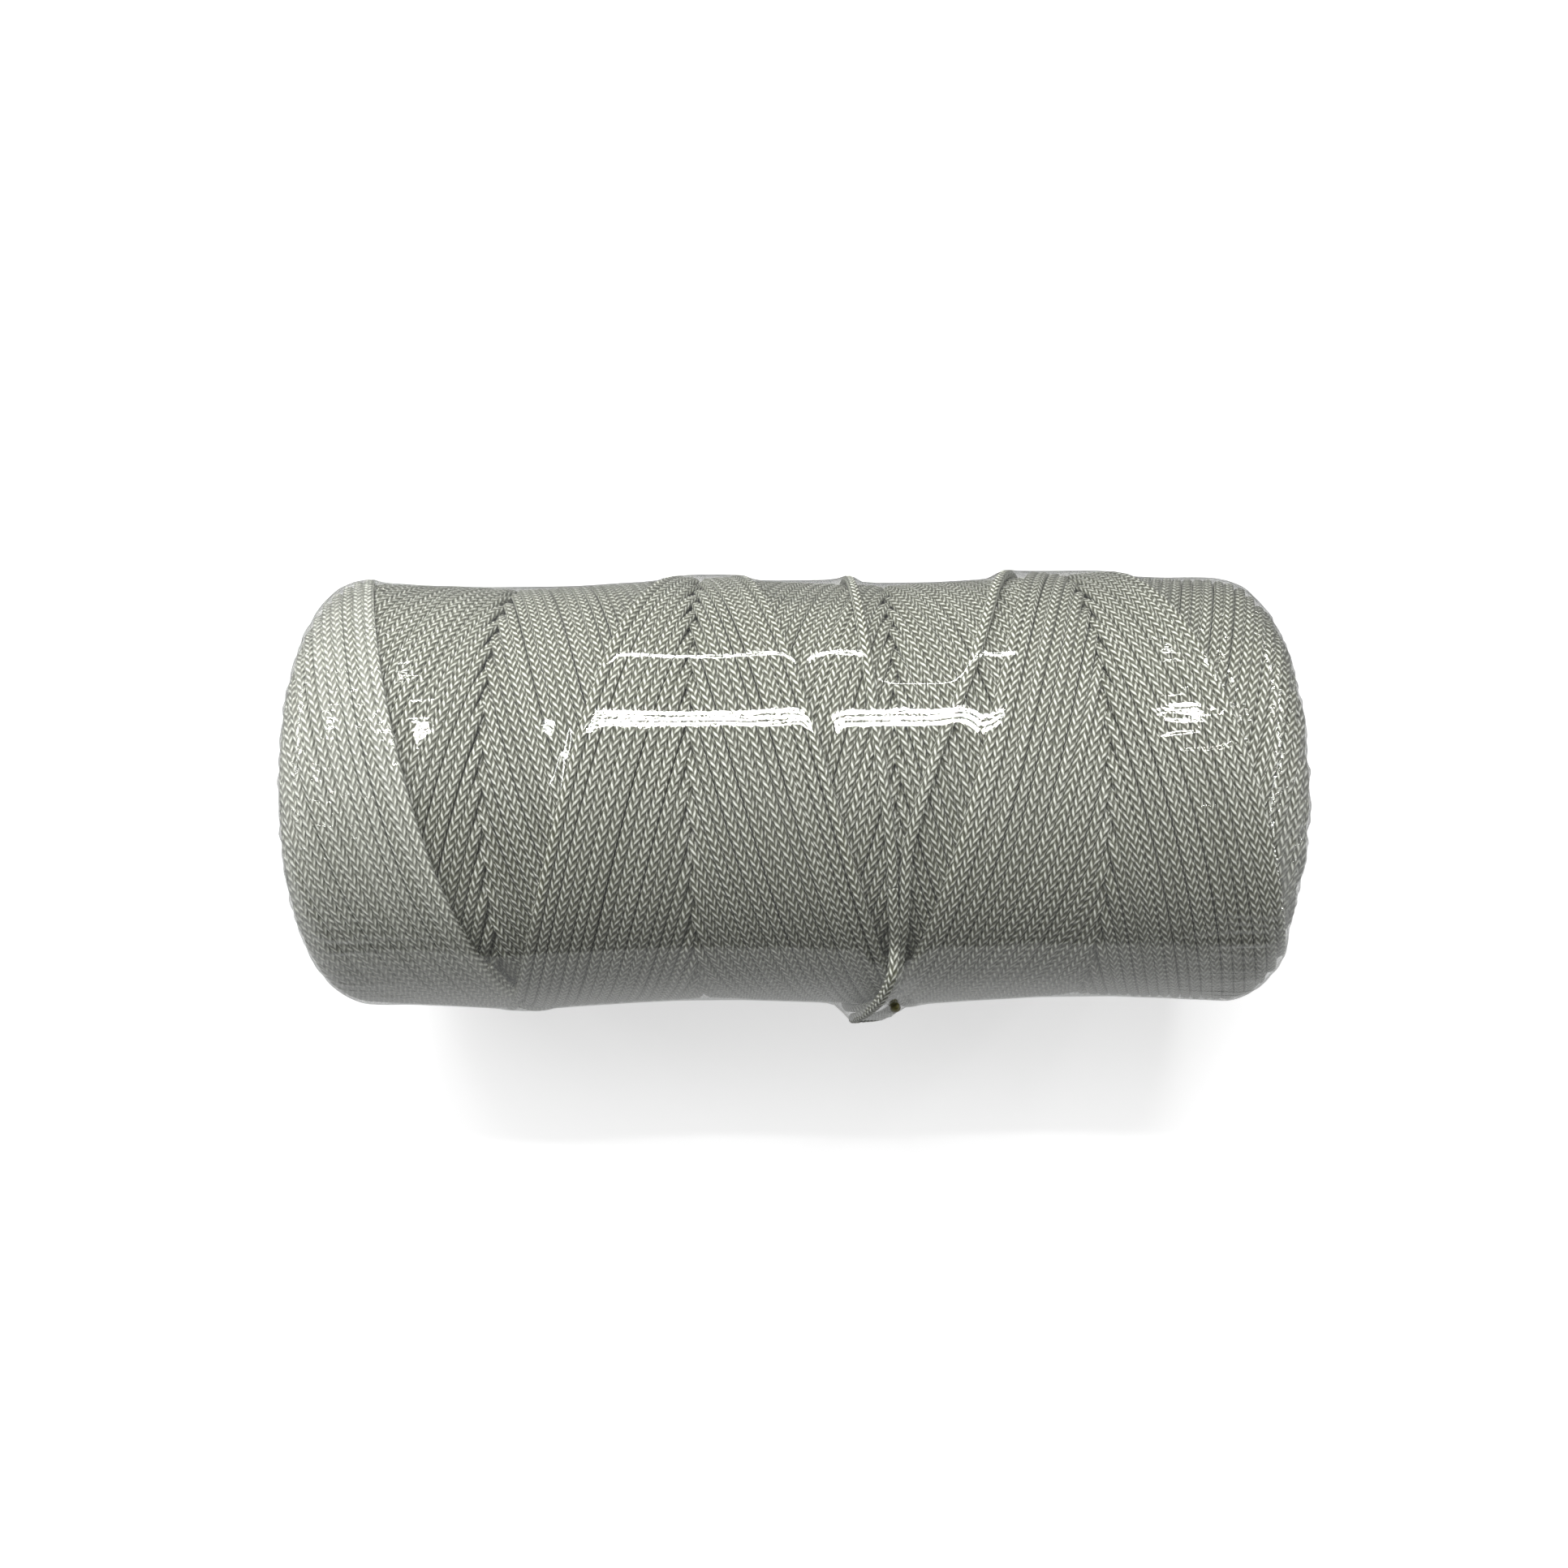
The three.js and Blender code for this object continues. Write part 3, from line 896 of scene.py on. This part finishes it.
FILM_WALL = 0.08 * MM
FILM_GAP = 0.12 * MM
FILM_HOLE = 23 * MM
FILM_END = HALF_LENGTH + 0.1 * MM
FILM_CORNER = SHOULDER + 0.1 * MM
FILM_TOP = TOP_RADIUS + 0.05 * MM
FLAT_HALF = FILM_END - FILM_CORNER
PROFILE_HALF = FLAT_HALF + FILM_CORNER * math.pi / 2 + FILM_TOP - FILM_CORNER - FILM_HOLE
FILM_GIRTH = 261 * MM
FILM_OFF_FLOOR = 0.02 * MM
FACE_STATIONS = 9
CORNER_STATIONS = 12
FLAT_STATIONS = 109
ROUND = 288


def film_profile():
    """The film's even profile from one bore to the other: place along, radius and outward normal."""
    face = np.linspace(FILM_HOLE, FILM_TOP - FILM_CORNER, FACE_STATIONS)[:-1]
    stations = [(-FILM_END, r, -1.0, 0.0) for r in face]
    for turn in np.radians(np.linspace(0, 90, CORNER_STATIONS)):
        x = -FLAT_HALF - FILM_CORNER * math.cos(turn)
        r = FILM_TOP - FILM_CORNER * (1 - math.sin(turn))
        stations.append((x, r, -math.cos(turn), math.sin(turn)))
    left_end = list(stations)
    for x in np.linspace(-FLAT_HALF, FLAT_HALF, FLAT_STATIONS)[1:-1]:
        stations.append((x, FILM_TOP, 0.0, 1.0))
    for x, r, nx, nr in reversed(left_end):
        stations.append((-x, r, -nx, nr))
    return np.array(stations)


def unrolled(x, radius):
    """How far along the film's even profile a point lies, from its middle, and how far outside it is."""
    past = np.abs(x) - FLAT_HALF
    above = radius - FILM_TOP + FILM_CORNER
    turn = np.arctan2(np.maximum(past, 0), np.maximum(above, 1e-9))
    along = np.minimum(np.abs(x), FLAT_HALF) + FILM_CORNER * turn + np.maximum(-above, 0)
    round_corner = np.where(above <= 0, np.abs(x) - FILM_END, np.hypot(past, above) - FILM_CORNER)
    return np.copysign(along, x), np.where(past <= 0, radius - FILM_TOP, round_corner)


def reach_under_film(cords):
    """How far the cords stand out of the film's even profile, over a grid along and round it."""
    count = int(2 * PROFILE_HALF / CELL) + 1
    reach = np.full((count, CELLS_ROUND), DEEPEST)
    for rings in cords:
        points = rings.reshape(-1, 3)
        radius, j = round_package(points)
        along, out = unrolled(points[:, 0], radius)
        i = ((along + PROFILE_HALF) / CELL).round().astype(int)
        inside = (i >= 0) & (i < count)
        np.maximum.at(reach, (i[inside], j[inside]), out[inside])
    return np.minimum(reach, HIGHEST)


def stretched_over(reach):
    """The film's lift over the cords: taut across dips, and closer in at the corners."""
    taut = closed(reach, 14, 8)
    close = closed(reach, 3, 6)
    from_middle = np.abs(np.arange(len(reach)) * CELL - PROFILE_HALF)
    at_corner = smoothstep(from_middle, FLAT_HALF - 2 * MM, FLAT_HALF + 2 * MM)[:, None]
    stretched = taut + (close - taut) * at_corner
    stretched = np.maximum(blurred(stretched, 4, 4), spread(reach, 1, 1, np.maximum) - 0.15 * MM)
    return blurred(stretched, 1, 2)


def puckers(turn, from_end):
    """Folds that run out from the bore and die away over the shoulder."""
    pleats = np.zeros_like(turn)
    for folds in (31, 53, 71):
        pleats += np.sin(np.radians(turn) * folds + RNG.uniform(0, 6)) / 3
    depth = np.interp(from_end, [0, 6, 12, 20, 26], [0.6, 0.4, 0.3, 0.15, 0]) * MM
    return depth[:, None] * (0.3 + 0.7 * pleats[None, :])


def film_mesh():
    """The film's outer wall, with its UV map in metres round and along it."""
    profile = film_profile()
    count = len(profile)
    turn = np.arange(ROUND) * 360 / ROUND
    along = unrolled(profile[:, 0], profile[:, 1])[0]
    stretched = stretched_over(reach_under_film(tops))
    i = np.clip(((along + PROFILE_HALF) / CELL).round().astype(int), 0, len(stretched) - 1)
    j = (turn * 2).astype(int)
    from_end = np.minimum(np.arange(count), count - 1 - np.arange(count))
    lift = stretched[i][:, j] + FILM_GAP + puckers(turn, from_end)
    x = profile[:, 0][:, None] + profile[:, 2][:, None] * lift
    radius = profile[:, 1][:, None] + profile[:, 3][:, None] * lift
    points = place(x, np.broadcast_to(turn, x.shape), radius)
    points[..., 2] = np.maximum(points[..., 2], REST_Z + FILM_OFF_FLOOR)
    steps = np.linalg.norm(np.diff(profile[:, :2], axis=0), axis=1)
    length = np.concatenate([[0], np.cumsum(steps)])
    row = np.arange(count - 1)[:, None] * ROUND
    a = np.arange(ROUND)[None, :]
    b = (a + 1) % ROUND
    quads = np.stack([row + a, row + ROUND + a, row + ROUND + b, row + b], axis=-1).reshape(-1, 4)
    s0, s1 = length[:-1, None] + 0 * a, length[1:, None] + 0 * a
    t0, t1 = 0 * s0 + a / ROUND, 0 * s0 + (a + 1) / ROUND
    corners = [np.stack([t0, s0], -1), np.stack([t0, s1], -1), np.stack([t1, s1], -1), np.stack([t1, s0], -1)]
    uv = np.stack(corners, axis=2).reshape(-1, 2) * [FILM_GIRTH, 1]
    return mesh_from("film", points.reshape(-1, 3), [quads], uv)


film = finished("film", film_mesh(), shrink_film("film"), "film_wrap")
solid = film.modifiers.new("film_wall", "SOLIDIFY")
solid.thickness = FILM_WALL
solid.offset = -1
bpy.context.view_layer.objects.active = film
bpy.ops.object.modifier_apply(modifier="film_wall")


# The floor and the lights.

SPAN = 6.0


def pale_floor():
    """Seen straight on it is nearly white, and what it sends back to the package is softer.

    In what the film mirrors, it is darker behind the package than in front."""
    finish = Finish("pale_floor")
    finish.tree.nodes.remove(finish.shader)
    place_on = finish.node("TexCoord").outputs["Object"]
    glow = finish.node("Emission")
    away = finish.node("VectorMath", operation="LENGTH")
    finish.link(place_on, away.inputs[0])
    farther = finish.maths("MULTIPLY_ADD", away.outputs["Value"], 0.2, 0.55)
    finish.link(finish.clamped(farther, 0.62, 1.0), glow.inputs["Strength"])
    lit = finish.node("BsdfDiffuse")
    lit.inputs["Color"].default_value = (0.55, 0.55, 0.55, 1)
    seen = finish.node("AddShader")
    finish.link(glow.outputs[0], seen.inputs[0])
    finish.link(lit.outputs[0], seen.inputs[1])
    bounce = finish.node("BsdfDiffuse")
    bounce.inputs["Color"].default_value = (0.42, 0.42, 0.41, 1)
    split = finish.node("SeparateXYZ")
    finish.link(place_on, split.inputs[0])
    nearer = finish.maths("MULTIPLY_ADD", split.outputs[1], -2.0, 0.30)
    mirrored = finish.node("Emission")
    finish.link(finish.clamped(nearer, 0.12, 0.5), mirrored.inputs["Strength"])
    path = finish.node("LightPath")
    direct = finish.mix_shaders(path.outputs["Is Camera Ray"], bounce.outputs[0], seen.outputs[0])
    either = finish.mix_shaders(path.outputs["Is Glossy Ray"], direct, mirrored.outputs[0])
    finish.link(either, finish.output.inputs["Surface"])
    return finish.material


def laid_floor():
    """A wide flat floor at the height that the package rests on."""
    mesh = bpy.data.meshes.new("floor")
    corners = [(-SPAN, -SPAN, REST_Z), (SPAN, -SPAN, REST_Z), (SPAN, SPAN, REST_Z), (-SPAN, SPAN, REST_Z)]
    mesh.from_pydata(corners, [], [(0, 1, 2, 3)])
    mesh.materials.append(pale_floor())
    floor = bpy.data.objects.new("floor", mesh)
    bpy.context.scene.collection.objects.link(floor)


laid_floor()


def studio_world():
    """White behind the package, and a much softer even light on it and in what the film mirrors."""
    world = bpy.data.worlds.new("studio")
    bpy.context.scene.world = world
    world.use_nodes = True
    tree = world.node_tree
    tree.nodes.clear()

    def background(strength):
        made = tree.nodes.new("ShaderNodeBackground")
        made.inputs["Strength"].default_value = strength
        made.inputs["Color"].default_value = (1, 1, 1, 1)
        return made.outputs[0]

    def chosen(ray, otherwise, when):
        made = tree.nodes.new("ShaderNodeMixShader")
        tree.links.new(path.outputs[ray], made.inputs[0])
        tree.links.new(otherwise, made.inputs[1])
        tree.links.new(when, made.inputs[2])
        return made.outputs[0]

    path = tree.nodes.new("ShaderNodeLightPath")
    soft = chosen("Is Glossy Ray", background(0.11), background(0.14))
    out = tree.nodes.new("ShaderNodeOutputWorld")
    tree.links.new(chosen("Is Camera Ray", soft, background(1.0)), out.inputs["Surface"])


studio_world()


def softbox(name, slant, distance, length, width, radiance, along=0.0, glossy=True):
    """A lamp above the package, leaning towards +Y by so many degrees from straight up.

    Those that the film mirrors hang level along the package, and the others are aimed at it."""
    lamp = bpy.data.lights.new(name, "AREA")
    lamp.shape = "RECTANGLE"
    lamp.size = length
    lamp.size_y = width
    lamp.energy = radiance * math.pi * length * width
    holder = bpy.data.objects.new(name, lamp)
    bpy.context.scene.collection.objects.link(holder)
    lean = math.radians(slant)
    holder.location = (along, distance * math.sin(lean), AXIS_Z + distance * math.cos(lean))
    towards = Vector((0, 0, AXIS_Z)) - holder.location
    aimed = towards.to_track_quat("-Z", "Y").to_euler()
    holder.rotation_euler = (-lean, 0, 0) if glossy else aimed
    holder.visible_glossy = glossy
    holder.visible_camera = False


softbox("key", 28, 1.4, 1.1, 0.9, 4.95, along=-0.5, glossy=False)
softbox("left_box", 78, 0.24, 0.08, 0.08, 17.0, along=-0.15, glossy=False)
softbox("upper_strip", 32.8, 1.5, 0.60, 0.028, 105)
softbox("middle_strip", 36, 1.5, 0.60, 0.028, 80)
softbox("lower_strip", 39.2, 1.5, 0.60, 0.028, 105)
softbox("left_upper_strip", 34, 1.5, 0.16, 0.03, 50, along=-0.52)
softbox("left_lower_strip", 38, 1.5, 0.16, 0.03, 50, along=-0.52)
softbox("side_strip", 72, 1.5, 0.60, 0.03, 30)
softbox("left_rim", 45, 0.8, 0.10, 0.8, 13, along=-1.3)
softbox("right_rim", 15, 0.8, 0.10, 1.0, 7, along=1.3)
softbox("right_upper_box", 72, 1.26, 0.20, 0.12, 40, along=0.95)
softbox("right_middle_box", 51, 0.85, 0.20, 0.10, 45, along=1.3)
softbox("right_lower_box", -16, 0.80, 0.20, 0.10, 45, along=1.35)
